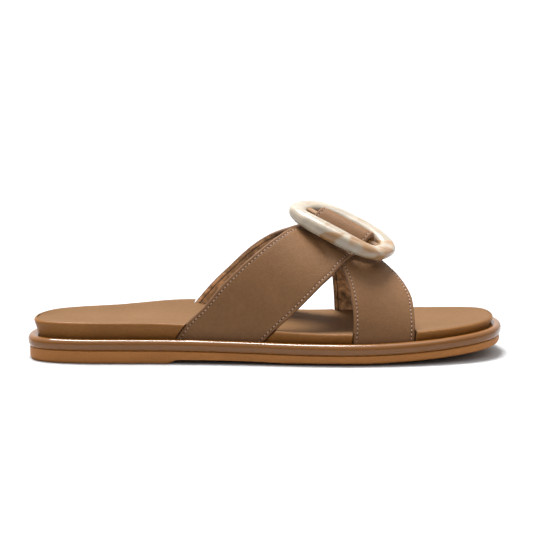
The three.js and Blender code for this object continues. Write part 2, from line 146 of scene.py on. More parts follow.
# The heel's saw teeth, in millimetres. The heel's own underside lies RIB_DEPTH above the floor, and
# the teeth keep RIB_GAP from the floor and from the sole's wall.
RIB_DEPTH = 0.5
RIB_PITCH = 0.95
RIB_HEIGHT = 1.1
RIB_GAP = 0.02
RIB_START = 3.0

# The straps' lanes, as distances from the edge in millimetres, and the shallow valley under the
# stitches, whose depth inside is a share of that outside.
EDGE_LANES = (0, 0.03, 0.1, 0.22, 0.4, 0.65, 1.0, 1.35, 1.7)
LANES_PAST_STITCHES = (2.5, 2.9, 3.5)
FAR_FROM_EDGE = 9.0
VALLEY_DEPTH = 0.22
VALLEY_WIDTH = 0.5
VALLEY_SHARE_INSIDE = 0.6

# A stitch and the dark disc of painted shadow that stands for a needle hole, in millimetres.
# A stitch's half length is a share of the pitch.
STITCH_HALF_LENGTH = 0.32
THREAD_HALF_WIDTH = 0.33
THREAD_HALF_HEIGHT = 0.24
THREAD_ARCH = 0.16
THREAD_SINK = 0.1
HOLE_HALF_LENGTH = 0.6
HOLE_HALF_WIDTH = 0.5
STITCHES_LEFT_OUT = 3

# How square or late a curve is. A squareness of 2 is an ellipse, and more is squarer. The last leans
# by a share of its height.
LAST_SQUARENESS = 2.2
LAST_LEAN = 0.16
TOE_CURVE = 1.8
BUCKLE_SQUARENESS = 2.7
OPENING_SQUARENESS = 3.2
BAR_SQUARENESS = 4.0
STRAP_EDGE_SQUARENESS = 2.4

# Places along the sole, as shares of the length from its middle.
TOE_BREAK = 0.183
HEEL_END = -0.27
BALL_AT = 0.155
ARCH_AT = -0.145
ARCH_REACH = 0.13
ARCH_END = 0.1
BREAST_AT = -0.198
BUCKLE_AT = 0.153

# Where the width starts to grow and where it has reached the ball's, as shares from the heel.
WAIST_START = 0.25
WAIST_END = 0.65

# Steps of the grids, and the share of a strap's way round that each notch takes.
STATIONS_PER_ROW = 32
COLUMNS = 36
STRAP_STEPS = 480
MIDDLE_LANES = 40
NOTCH_STEPS = 15
NOTCH_SHARE = 0.13


def distance(name, description, millimetres):
    """A length property, shown in scene units and given here in millimetres."""
    return FloatProperty(
        name=name, description=description, default=millimetres / 1000, min=0.0,
        subtype="DISTANCE", unit="LENGTH", precision=4,
    )


def linear(hex_colour):
    """Turns an sRGB hex colour into linear red, green, blue and alpha."""
    channels = np.array([int(hex_colour[i:i + 2], 16) for i in (1, 3, 5)]) / 255
    channels = np.where(channels <= 0.04045, channels / 12.92, ((channels + 0.055) / 1.055) ** 2.4)
    return (*(float(c) for c in channels), 1.0)


def paint(name, description, hex_colour):
    """A colour property, given here as an sRGB hex colour."""
    return FloatVectorProperty(
        name=name, description=description, default=linear(hex_colour), size=4,
        min=0.0, max=1.0, subtype="COLOR",
    )


class SandalSizes(bpy.types.PropertyGroup):
    """Sizes of the sandal."""
    length: distance("Length", "Heel to toe over the welt", 262)
    ball_width: distance("Ball width", "Over the welt at the ball", 92)
    heel_width: distance("Heel width", "Over the welt at the heel", 63.2)
    instep_height: distance("Instep height", "Top of the straps above the floor", 71.6)
    heel_thickness: distance("Heel thickness", "Outsole under the heel", 7)
    ball_thickness: distance("Ball thickness", "Outsole under the ball", 5.6)
    toe_spring: distance("Toe spring", "How far the toe tip lifts", 5.4)
    heel_bed: distance("Heel bed", "Footbed edge above the outsole at the heel", 15.2)
    ball_bed: distance("Ball bed", "Footbed edge above the outsole at the ball", 11.5)
    toe_bed: distance("Toe bed", "Footbed edge above the outsole at the toe", 10.8)
    welt_width: distance("Welt width", "Width of the roll", 5.6)
    welt_height: distance("Welt height", "Height of the roll", 6.2)
    strap_wall: distance("Strap wall", "Two plies of leather", 2.4)
    stitch_pitch: distance("Stitch pitch", "From one stitch to the next", 2.3)
    stitch_inset: distance("Stitch inset", "Stitch line inside the strap's edge", 2.1)
    buckle_length: distance("Buckle length", "Over the rim, along the bar", 62.7)
    buckle_width: distance("Buckle width", "Over the rim, across the bar", 43.4)
    rim_at_ends: distance("Rim at the ends", "Width of the rim at the ends of the bar", 9.1)
    rim_at_sides: distance("Rim at the sides", "Width of the rim along the bar", 10.6)
    crest_at_ends: distance("Crest at the ends", "Top of the rim above the bar's middle, at the ends", 2.7)
    crest_at_sides: distance("Crest at the sides", "Top of the rim above the bar's middle, at the sides", 4.9)


class SandalColours(bpy.types.PropertyGroup):
    """Colours of the sandal and its stage."""
    strap: paint("Strap", "Dyed calf leather of the straps", "#6F4F33")
    strap_edge: paint("Strap edge", "Painted cut edge of the straps", "#63442B")
    lining: paint("Lining", "Pigskin inside the straps", "#A6825E")
    thread: paint("Thread", "Waxed thread outside", "#A2806A")
    lining_thread: paint("Lining thread", "Waxed thread inside", "#2E1D12")
    # The needle holes' colour is painted shadow, put on dark discs over the straps.
    hole: paint("Needle hole shadow", "Shadow in a needle hole", "#0E0805")
    footbed: paint("Footbed", "Leather top of the footbed", "#684B2F")
    footbed_wall: paint("Footbed wall", "Leather side of the footbed", "#784D20")
    welt: paint("Welt", "Burnished leather roll", "#6E420E")
    outsole: paint("Outsole", "Moulded rubber", "#9A622A")
    resin: paint("Resin", "Clear ivory of the buckle", "#988D7C")
    marbling: paint("Marbling", "Caramel veins of the buckle", "#7A572D")
    floor: paint("Floor", "Studio floor", "#B0B0B1")


def ease(start, end, value):
    """Goes from 0 at start to 1 at end along t squared times (3 - 2t)."""
    t = np.clip((value - start) / (end - start), 0, 1)
    return t * t * (3 - 2 * t)


def lerp(a, b, share):
    """A straight blend from a to b."""
    return a + (b - a) * share


def read(table, key, column, at):
    """A smooth curve through a column: cubic pieces whose slope at a row joins its neighbours."""
    keys, values = table[key], table[column]
    rows = np.arange(len(keys))
    low, high = np.maximum(rows - 1, 0), np.minimum(rows + 1, rows[-1])
    slope = (values[high] - values[low]) / (keys[high] - keys[low])
    i = np.clip(np.searchsorted(keys[1:], at), 0, rows[-1] - 1)
    step = keys[i + 1] - keys[i]
    t = np.clip((at - keys[i]) / step, 0, 1)
    return (
        values[i] * (1 + 2 * t) * (1 - t) ** 2 + values[i + 1] * (3 - 2 * t) * t ** 2
        + slope[i] * step * t * (1 - t) ** 2 - slope[i + 1] * step * (1 - t) * t ** 2
    )


def unit(vectors):
    """Vectors divided by their own length."""
    return vectors / np.maximum(np.linalg.norm(vectors, axis=-1, keepdims=True), 1e-9)


def stack(x, y, z):
    """Three arrays of coordinates as one array of points."""
    return np.stack(np.broadcast_arrays(x, y, z), axis=-1)


class Form:
    """The sandal's shapes in millimetres, worked out from its sizes."""

    def __init__(self, sizes):
        for name in SandalSizes.__annotations__:
            setattr(self, name, getattr(sizes, name) * 1000)
        coarse = self.outline_curve(3)
        self.middle = (coarse.min(axis=0) + coarse.max(axis=0)) / 2
        self.outline = self.outline_curve(STATIONS_PER_ROW) - self.middle
        step = np.roll(self.outline, -1, axis=0) - np.roll(self.outline, 1, axis=0)
        self.inwards = unit(np.stack([step[:, 1], -step[:, 0]], axis=-1))
        self.half = len(self.outline) // 2
        inside = self.outline + self.inwards * (self.welt_width + CLEARANCE)
        self.inner_side = inside[:self.half + 1]
        self.outer_side = np.concatenate([inside[self.half:], inside[:1]])[::-1]
        self.place_buckle()

    def outline_curve(self, per_row):
        """The outline: a closed curve through the table's rows, whose pieces are cubic and whose
        speed at a row goes with the square root of the distance to the rows beside it."""
        def half_width(along):
            return lerp(self.heel_width, self.ball_width, ease(WAIST_START, WAIST_END, along)) / 2
        along = np.concatenate([OUTLINE["along"], OUTLINE["along"][-2:0:-1]])
        across = np.concatenate([OUTLINE["inner"], OUTLINE["outer"][-2:0:-1]])
        points = np.stack([(along - 0.5) * self.length, across * half_width(along)], axis=-1)
        p0, p1, p2, p3 = (np.roll(points, shift, axis=0)[:, None] for shift in (1, 0, -1, -2))
        d0, d1, d2 = (np.linalg.norm(b - a, axis=-1, keepdims=True) ** 0.5
                      for a, b in ((p0, p1), (p1, p2), (p2, p3)))
        start = ((p1 - p0) / d0 - (p2 - p0) / (d0 + d1) + (p2 - p1) / d1) * d1
        end = ((p2 - p1) / d1 - (p3 - p1) / (d1 + d2) + (p3 - p2) / d2) * d1
        t = (np.arange(per_row) / per_row)[None, :, None]
        curve = (p1 + start * t + (3 * (p2 - p1) - 2 * start - end) * t ** 2
                 + (2 * (p1 - p2) + start + end) * t ** 3)
        return curve.reshape(-1, 2)

    def ring(self, inset):
        """The outline moved inwards by inset."""
        return self.outline + self.inwards * np.broadcast_to(inset, len(self.outline))[:, None]

    def towards_ball(self, x):
        return ease(HEEL_END, BALL_AT, x / self.length)

    def toe_lift(self, x):
        """Rises from the toe break to the tip as a power of the way between."""
        way = np.clip((x / self.length - TOE_BREAK) / (0.5 - TOE_BREAK), 0, 1)
        return self.toe_spring * way ** TOE_CURVE

    def sole_top(self, x):
        return self.toe_lift(x) + lerp(self.heel_thickness, self.ball_thickness, self.towards_ball(x))

    def bed_edge(self, x, y):
        """Top edge of the footbed: falls from heel to ball to toe, and swells at the inner arch."""
        rear = lerp(self.heel_bed, self.ball_bed, self.towards_ball(x))
        wall = lerp(rear, self.toe_bed, ease(TOE_BREAK, 0.5, x / self.length))
        arch = np.exp(-(((x / self.length - ARCH_AT) / ARCH_REACH) ** 2))
        inner = ease(-0.1, 0.3, y / self.ball_width)
        return self.sole_top(x) + wall + ARCH_RISE * (arch * inner)

    def arch_hollow(self, x):
        """Height of the underside at the arch: a quick slope at the heel's front, then level,
        then a long curve down to the forefoot."""
        breast, end = BREAST_AT * self.length, ARCH_END * self.length
        third = (end - breast) / 3
        t = np.clip((x - breast) / BREAST_SLOPE, 0, 1)
        s = np.clip((end - x) / (2 * third), 0, 1)
        return HEEL_TREAD * (1 - (1 - t) ** 2) * (s * (2 - s)) * (x > breast) * (x < end)

    def last(self, x, around):
        """The face that the straps lie on: across the foot a half superellipse from the outer
        to the inner edge of the sole, whose height follows the ridge and leans to the inner side."""
        outer = np.interp(x, self.outer_side[:, 0], self.outer_side[:, 1])
        inner = np.interp(x, self.inner_side[:, 0], self.inner_side[:, 1])
        foot = self.sole_top(x) + CLEARANCE
        top = self.instep_height * read(RIDGE, "along", "height", x / self.length)
        angle = np.pi * around
        power = 2 / LAST_SQUARENESS
        side = -np.sign(np.cos(angle)) * np.abs(np.cos(angle)) ** power
        rise = np.abs(np.sin(angle)) ** power * (1 + LAST_LEAN * side)
        return stack(x, (outer + inner) / 2 + side * (inner - outer) / 2, foot + rise * (top - foot))

    def last_normal(self, x, around):
        """The direction out of the last, from its slopes along and across the foot."""
        low, high = np.clip(around - 0.004, 0, 1), np.clip(around + 0.004, 0, 1)
        along = self.last(x + 1, around) - self.last(x - 1, around)
        return unit(np.cross(along, self.last(x, high) - self.last(x, low)))

    def place_buckle(self):
        """The buckle's own axes: its bar runs to the outer toe and down, and cross to the inner side."""
        turn, pitch, roll = np.radians([BUCKLE_TURN, BUCKLE_PITCH, BUCKLE_ROLL])
        bar = np.array([np.cos(turn) * np.cos(pitch), -np.sin(turn) * np.cos(pitch), -np.sin(pitch)])
        level = np.array([np.sin(turn), np.cos(turn), 0.0])
        cross = level * np.cos(roll) + np.cross(bar, level) * np.sin(roll)
        up = np.cross(bar, cross)
        around = np.linspace(0.5, 0.7, 101)
        x = np.full_like(around, BUCKLE_AT * self.length)
        points = self.last(x, around)
        self.bar, self.cross, self.up = bar, cross, up
        self.buckle_middle = points[np.argmax(points[:, 1] >= BUCKLE_ACROSS)] + up * BUCKLE_RIDE

    def strap_x(self, table, around, share):
        return self.length * lerp(
            read(table, "around", "rear", around), read(table, "around", "front", around), share)

    def strap_inner(self, table, x, around):
        """Inner face of a strap. It lies a wall's thickness inside the last. The top strap climbs
        on to the lower one, and rises over the bar between the sides of the rim."""
        lift = -self.strap_wall
        if table is TOP_STRAP:
            past_rear = x - self.strap_x(LOWER_STRAP, around, 0)
            past_front = self.strap_x(LOWER_STRAP, around, 1) - x
            beyond = np.minimum(past_rear, past_front)
            lift = (self.strap_wall - JOIN_DEPTH) * ease(-DRAPE, 0, beyond) - self.strap_wall
        points = self.last(x, around) + self.last_normal(x, around) * np.asarray(lift)[..., None]
        if table is TOP_STRAP:
            local = points - self.buckle_middle
            reach = self.buckle_width / 2 - self.rim_at_sides - CLEARANCE
            share = 1 - ease(0, reach, np.abs(local @ self.cross))
            points = points + (share * (HUMP_HEIGHT - local @ self.up))[..., None] * self.up
        return points


def grid_normals(grid):
    """The direction out of a grid whose rows go round the foot and whose columns go to the toe."""
    return unit(np.cross(np.gradient(grid, axis=1), np.gradient(grid, axis=0)))


def sheet(grid, material=0, closed=False):
    """A grid of points as (points, quads, material). closed joins the last column to the first."""
    rows, columns = grid.shape[:2]
    i, j = np.meshgrid(np.arange(rows - 1), np.arange(columns if closed else columns - 1), indexing="ij")
    k = (j + 1) % columns
    here, after = i * columns, (i + 1) * columns
    quads = np.stack([here + j, here + k, after + k, after + j], axis=-1)
    return grid.reshape(-1, 3), quads.reshape(-1, 4), material


def rungs(ring, columns, height=None):
    """Closes a ring of stations with rungs between opposite ones. height(x, z, across) gives the
    points between, where across goes from 0 at the inner side to 1 at the outer side."""
    half = len(ring) // 2
    inner = ring[:half + 1]
    outer = np.concatenate([ring[:1], ring[:half - 1:-1]])
    across = np.linspace(0, 1, columns + 1)[None, :, None]
    grid = inner[:, None] * (1 - across) + outer[:, None] * across
    if height is not None:
        grid[:, 1:-1, 2] = height(grid[:, 1:-1, 0], grid[:, 1:-1, 2], across[:, 1:-1, 0])
    return grid


def make(name, parts, materials, replaces, sharp=None, weld=0.01):
    offset, points, faces, indices = 0, [], [], []
    for vertices, quads, material in parts:
        points.append(vertices)
        faces.append(quads + offset)
        indices.append(np.full(len(quads), material))
        offset += len(vertices)
    mesh = bpy.data.meshes.new(name)
    mesh.from_pydata((np.concatenate(points) / 1000).tolist(), [], np.concatenate(faces).tolist())
    mesh.polygons.foreach_set("material_index", np.concatenate(indices).astype(np.int32))
    bm = bmesh.new()
    bm.from_mesh(mesh)
    if weld:
        bmesh.ops.remove_doubles(bm, verts=bm.verts, dist=weld / 1000)
        bmesh.ops.dissolve_degenerate(bm, edges=bm.edges, dist=weld / 4000)
        bmesh.ops.recalc_face_normals(bm, faces=bm.faces)
    bm.to_mesh(mesh)
    bm.free()
    mesh.polygons.foreach_set("use_smooth", np.ones(len(mesh.polygons), dtype=bool))
    if sharp is not None:
        mesh.set_sharp_from_angle(angle=np.radians(sharp))
    for material in materials:
        mesh.materials.append(material)
    piece = bpy.data.objects.new(name, mesh)
    bpy.context.scene.collection.objects.link(piece)
    if replaces:
        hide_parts(replaces)
    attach(piece, "root")
    return piece


def copies(template, quads, places, along, normal):
    """The same small shape at many places, its x along the path and its z out of the surface."""
    side = unit(np.cross(normal, along))
    points = (places[:, None] + template[None, :, :1] * along[:, None]
              + template[None, :, 1:2] * side[:, None] + template[None, :, 2:] * normal[:, None])
    offsets = np.arange(len(places))[:, None, None] * len(template)
    return points.reshape(-1, 3), (quads[None] + offsets).reshape(-1, 4)


def read_path(at, run, values):
    """Reads a path's points or directions at distances along it, on straight lines between them."""
    return np.stack([np.interp(at, run, values[:, axis]) for axis in range(3)], axis=-1)


def node(tree, kind, inputs=None, **settings):
    """Adds one shader node. inputs maps a socket to a value, or to the socket that feeds it."""
    new = tree.nodes.new(kind)
    for name, value in settings.items():
        setattr(new, name, value)
    for name, value in (inputs or {}).items():
        if isinstance(value, bpy.types.NodeSocket):
            tree.links.new(value, new.inputs[name])
        else:
            new.inputs[name].default_value = value
    return new


def start_material(name):
    """An empty material with its principled shader, and the object's own coordinates."""
    material = bpy.data.materials.new(name)
    material.use_nodes = True
    tree = material.node_tree
    tree.nodes.clear()
    shader = node(tree, "ShaderNodeBsdfPrincipled")
    node(tree, "ShaderNodeOutputMaterial", {"Surface": shader.outputs["BSDF"]})
    place = node(tree, "ShaderNodeTexCoord").outputs["Object"]
    return material, tree, shader, place


def ramp(tree, factor, stops):
    """A colour ramp through (position, linear colour) stops."""
    new = node(tree, "ShaderNodeValToRGB", {"Fac": factor})
    elements = new.color_ramp.elements
    while len(elements) < len(stops):
        elements.new(0.5)
    for element, (position, colour) in zip(elements, stops):
        element.position = position
        element.color = colour
    return new.outputs["Color"]


def shade(colour, factor):
    """A linear colour made lighter or darker."""
    return (*(min(channel * factor, 1.0) for channel in colour[:3]), 1.0)


def leather(name, colour, grain, depth, roughness, mottle, specular=0.3, coat=0.0):
    """Tanned leather, dyed through and rolled smooth. Pebbles of the grain size in millimetres,
    drawn a little coarser than real so that they show, give it a soft broken sheen; slow noise
    gives it the cloudy colour of hide."""
    material, tree, shader, place = start_material(name)
    cloud = node(tree, "ShaderNodeTexNoise", {
        "Vector": place, "Scale": 1000 / 26, "Detail": 4.0, "Roughness": 0.6})
    fleck = node(tree, "ShaderNodeTexNoise", {"Vector": place, "Scale": 1000 / (grain * 1.6), "Detail": 3.0})
    tone = node(tree, "ShaderNodeMix", {
        "Factor": 0.45, "A": cloud.outputs["Fac"], "B": fleck.outputs["Fac"]}, data_type="FLOAT")
    hue = ramp(tree, tone.outputs["Result"], [
        (0.3, shade(colour, 1 - mottle)), (0.5, colour), (0.7, shade(colour, 1 + mottle))])
    pebbles = node(tree, "ShaderNodeTexVoronoi", {
        "Vector": place, "Scale": 1000 / grain, "Randomness": 1.0}, feature="DISTANCE_TO_EDGE")
    grit = node(tree, "ShaderNodeTexNoise", {"Vector": place, "Scale": 1000 / (grain * 0.6), "Detail": 2.0})
    relief = node(tree, "ShaderNodeMix", {
        "Factor": 0.5, "A": pebbles.outputs["Distance"], "B": grit.outputs["Fac"]}, data_type="FLOAT")
    bump = node(tree, "ShaderNodeBump", {
        "Height": relief.outputs["Result"], "Strength": depth, "Distance": 0.0004})
    gloss = node(tree, "ShaderNodeMapRange", {
        "Value": tone.outputs["Result"], "From Min": 0.3, "From Max": 0.7,
        "To Min": roughness + 0.06, "To Max": roughness - 0.06})
    tree.links.new(hue, shader.inputs["Base Color"])
    tree.links.new(gloss.outputs["Result"], shader.inputs["Roughness"])
    tree.links.new(bump.outputs["Normal"], shader.inputs["Normal"])
    shader.inputs["IOR"].default_value = 1.5
    shader.inputs["Specular IOR Level"].default_value = specular
    if coat:
        shader.inputs["Coat Weight"].default_value = coat
        shader.inputs["Coat Roughness"].default_value = 0.1
    return material


def pigskin(name, colour):
    """Glazed pigskin. Fine wrinkles run in all directions over a cloudy ground, with painted shade
    dark at their bottoms and painted highlight pale on their backs."""
    material, tree, shader, place = start_material(name)
    wrinkle = node(tree, "ShaderNodeTexNoise", {
        "Vector": place, "Scale": 1000 / 7, "Detail": 6.0, "Roughness": 0.62, "Distortion": 1.4})
    cloud = node(tree, "ShaderNodeTexNoise", {"Vector": place, "Scale": 1000 / 11, "Detail": 3.0})
    tone = node(tree, "ShaderNodeMix", {
        "Factor": 0.35, "A": wrinkle.outputs["Fac"], "B": cloud.outputs["Fac"]}, data_type="FLOAT")
    # Painted shade darkens the bottoms of the wrinkles and painted highlight lightens their backs.
    hue = ramp(tree, tone.outputs["Result"], [
        (0.4, shade(colour, 0.35)), (0.48, shade(colour, 0.9)), (0.54, shade(colour, 1.3)),
        (0.63, shade(colour, 2.2))])
    bump = node(tree, "ShaderNodeBump", {
        "Height": wrinkle.outputs["Fac"], "Strength": 0.5, "Distance": 0.001})
    tree.links.new(hue, shader.inputs["Base Color"])
    tree.links.new(bump.outputs["Normal"], shader.inputs["Normal"])
    shader.inputs["Roughness"].default_value = 0.5
    shader.inputs["Specular IOR Level"].default_value = 0.3
    return material


def rubber(name, colour):
    """Moulded rubber with a fine spark-eroded skin. It is dull, with small dark and light specks."""
    material, tree, shader, place = start_material(name)
    speck = node(tree, "ShaderNodeTexNoise", {"Vector": place, "Scale": 1000 / 1.2, "Detail": 3.0})
    band = node(tree, "ShaderNodeTexNoise", {"Vector": place, "Scale": 1000 / 40, "Detail": 2.0})
    tone = node(tree, "ShaderNodeMix", {
        "Factor": 0.5, "A": speck.outputs["Fac"], "B": band.outputs["Fac"]}, data_type="FLOAT")
    hue = ramp(tree, tone.outputs["Result"], [(0.3, shade(colour, 0.86)), (0.7, shade(colour, 1.12))])
    bump = node(tree, "ShaderNodeBump", {
        "Height": speck.outputs["Fac"], "Strength": 0.25, "Distance": 0.0003})
    tree.links.new(hue, shader.inputs["Base Color"])
    tree.links.new(bump.outputs["Normal"], shader.inputs["Normal"])
    shader.inputs["Roughness"].default_value = 0.62
    shader.inputs["Specular IOR Level"].default_value = 0.35
    return material


def cast_resin(name, ivory, caramel, tilt, polish):
    """Cast resin. Long strata of milk and clear ivory run along the bar, with thin caramel streaks
    where the pour folded over itself, under a skin that light sinks into. polish is its clear gloss."""
    material, tree, shader, place = start_material(name)
    laid = node(tree, "ShaderNodeMapping", {"Vector": place, "Rotation": tilt, "Scale": (0.22, 1.0, 1.0)})
    strata = node(tree, "ShaderNodeTexNoise", {
        "Vector": laid.outputs["Vector"], "Scale": 1000 / 11, "Detail": 2.0, "Roughness": 0.45,
        "Distortion": 0.8})
    fold = node(tree, "ShaderNodeTexNoise", {
        "Vector": place, "Scale": 1000 / 17, "Detail": 1.5, "Roughness": 0.4, "Distortion": 1.0})
    milk = ramp(tree, strata.outputs["Fac"], [
        (0.34, shade(ivory, 0.86)), (0.46, ivory), (0.54, shade(ivory, 1.16)), (0.66, shade(ivory, 0.94))])
    amber = ramp(tree, strata.outputs["Fac"], [
        (0.38, shade(ivory, 0.95)), (0.45, shade(caramel, 1.3)), (0.5, caramel), (0.56, shade(caramel, 1.5)),
        (0.62, ivory)])
    share = ramp(tree, fold.outputs["Fac"], [(0.53, (0.0, 0.0, 0.0, 1.0)), (0.61, (0.9, 0.9, 0.9, 1.0))])
    hue = node(tree, "ShaderNodeMix", {"Factor": share, "A": milk, "B": amber}, data_type="RGBA")
    tree.links.new(hue.outputs["Result"], shader.inputs["Base Color"])
    shader.inputs["Roughness"].default_value = 0.35
    shader.inputs["IOR"].default_value = 1.5
    shader.inputs["Subsurface Weight"].default_value = 0.6
    shader.inputs["Subsurface Radius"].default_value = (1.0, 0.85, 0.7)
    shader.inputs["Subsurface Scale"].default_value = 0.006
    shader.inputs["Coat Weight"].default_value = polish
    shader.inputs["Coat Roughness"].default_value = 0.07
    return material


def waxed_thread(name, colour):
    """Twisted and waxed polyester thread of one colour: light and dark slants across it are painted highlight
    on its two plies and painted shade between them.
    """
    material, tree, shader, place = start_material(name)
    twist = node(tree, "ShaderNodeTexWave", {"Vector": place, "Scale": 1000 / 4, "Distortion": 1.0},
                 bands_direction="DIAGONAL")
    # Painted highlight and shade of the twist, in slanted bands.
    hue = ramp(tree, twist.outputs["Fac"], [(0.0, shade(colour, 0.72)), (1.0, shade(colour, 1.1))])
    tree.links.new(hue, shader.inputs["Base Color"])
    shader.inputs["Roughness"].default_value = 0.5
    shader.inputs["Sheen Weight"].default_value = 0.2
    return material


def needle_hole_shadow(name, colour):
    """The painted shadow of a needle hole, on a dark disc laid just over the strap: dull and dark, with a
    little uneven tone.
    """
    material, tree, shader, place = start_material(name)
    fibre = node(tree, "ShaderNodeTexNoise", {"Vector": place, "Scale": 1000 / 0.5, "Detail": 2.0})
    hue = ramp(tree, fibre.outputs["Fac"], [(0.3, shade(colour, 0.7)), (0.7, shade(colour, 1.3))])
    tree.links.new(hue, shader.inputs["Base Color"])
    shader.inputs["Roughness"].default_value = 0.9
    return material


def studio_paper(name, colour):
    """Matt studio paper, even and pale, with a barely seen cloud in its tone."""
    material, tree, shader, place = start_material(name)
    cloud = node(tree, "ShaderNodeTexNoise", {"Vector": place, "Scale": 2.0, "Detail": 1.0})
    hue = ramp(tree, cloud.outputs["Fac"], [(0.3, shade(colour, 0.99)), (0.7, colour)])
    tree.links.new(hue, shader.inputs["Base Color"])
    shader.inputs["Roughness"].default_value = 0.9
    shader.inputs["Specular IOR Level"].default_value = 0.1
    return material


class SANDAL_OT_outsole(bpy.types.Operator):
    """Builds the rubber outsole with its heel block, hollow arch, forefoot crown and heel ribs."""
    bl_idname = "sandal.outsole"
    bl_label = "Outsole"

    def execute(self, context):
        form, colours = Form(context.scene.sandal_sizes), context.scene.sandal_colours

        def underside(x, z):
            heel = np.where(x < BREAST_AT * form.length, RIB_DEPTH, 0)
            return np.maximum(z, np.maximum(form.arch_hollow(x), heel))

        def level(inset, height):
            flat = form.ring(inset)
            return stack(flat[:, 0], flat[:, 1], height(flat[:, 0]))

        def crown(x):
            return FOREFOOT_CROWN * ease(ARCH_AT, ARCH_END, x / form.length)

        rings = [level(SOLE_SETBACK + SOLE_EDGE_ROUND + CROWN_RUN, lambda x: underside(x, form.toe_lift(x)))]
        for turn in np.radians([0, 15, 30, 45, 60, 75, 90]):
            rings.append(level(
                SOLE_SETBACK + SOLE_EDGE_ROUND * (1 - np.sin(turn)),
                lambda x: underside(x, form.toe_lift(x) + crown(x) + SOLE_EDGE_ROUND * (1 - np.cos(turn)))))
        rings.append(level(SOLE_SETBACK, lambda x: form.sole_top(x) - SOLE_TOP_CHAMFER))
        rings.append(level(SOLE_SETBACK + SOLE_TOP_CHAMFER, form.sole_top))
        wall = np.array(rings)
        bottom = rungs(wall[0], COLUMNS, lambda x, z, across: underside(x, form.toe_lift(x)))
        top = rungs(wall[-1], COLUMNS, lambda x, z, across: form.sole_top(x))
        parts = [sheet(wall, closed=True), sheet(bottom), sheet(top)]
        skin = rubber("Moulded rubber", colours.outsole)
        make("outsole_body", parts, [skin], "outsole", sharp=40)

        # Ribs across the heel: a saw tooth every millimetre or so, from edge to edge.
        inset = form.ring(SOLE_SETBACK + RIB_GAP)
        inner, outer = inset[:form.half + 1], np.concatenate([inset[form.half:], inset[:1]])[::-1]
        start, end = inner[0, 0] + RIB_START, BREAST_AT * form.length
        x = start + RIB_PITCH * np.arange(int((end - start) / RIB_PITCH))
        low = np.interp(x, outer[:, 0], outer[:, 1])
        high = np.interp(x, inner[:, 0], inner[:, 1])
        profile = np.array([(-0.5, 1.0), (-0.08, 0.0), (0.08, 0.0), (0.5, 1.0)])
        ribs = []
        for y in (low, high):
            ribs.append(stack(
                x[:, None] + RIB_PITCH * profile[:, 0], y[:, None], RIB_GAP + RIB_HEIGHT * profile[:, 1]))
        points = np.stack(ribs, axis=1)
        quads = np.array([(0, 1, 5, 4), (1, 2, 6, 5), (2, 3, 7, 6), (3, 0, 4, 7), (3, 2, 1, 0), (4, 5, 6, 7)])
        faces = (quads[None] + 8 * np.arange(len(x))[:, None, None]).reshape(-1, 4)
        make("outsole_heel_ribs", [(points.reshape(-1, 3), faces, 0)], [skin], None,
             sharp=20, weld=0.001)
        return {"FINISHED"}


class SANDAL_OT_welt(bpy.types.Operator):
    """Builds the rolled welt: a half-round profile carried round the outline."""
    bl_idname = "sandal.welt"
    bl_label = "Welt"

    def execute(self, context):
        form, colours = Form(context.scene.sandal_sizes), context.scene.sandal_colours
        middle, reach = (form.welt_height + WELT_SEAT) / 2, form.welt_width / 2
        turns = np.radians(np.linspace(-78, 90, 29))
        bulge = np.cos(turns) ** np.where(turns < 0, WELT_UNDER_FULLNESS, 1)
        insets = np.concatenate([
            [form.welt_width, reach * 0.8], reach - reach * bulge, [reach * 1.5, form.welt_width]])
        rises = np.concatenate([
            [WELT_SEAT, WELT_SEAT], middle + (middle - WELT_SEAT) * np.sin(turns),
            [form.welt_height - WELT_INNER_DROP * 0.3, form.welt_height - WELT_INNER_DROP]])
        flat = form.outline[None] + form.inwards[None] * insets[:, None, None]
        tube = stack(flat[..., 0], flat[..., 1], form.sole_top(flat[..., 0]) + rises[:, None])
        parts = [sheet(np.concatenate([tube, tube[:1]]), closed=True)]
        skin = leather("Burnished veal roll", colours.welt, grain=1.1, depth=0.02, roughness=0.5,
                       mottle=0.05, specular=0.05, coat=0.9)
        make("welt_roll", parts, [skin], "welt", sharp=50)
        return {"FINISHED"}


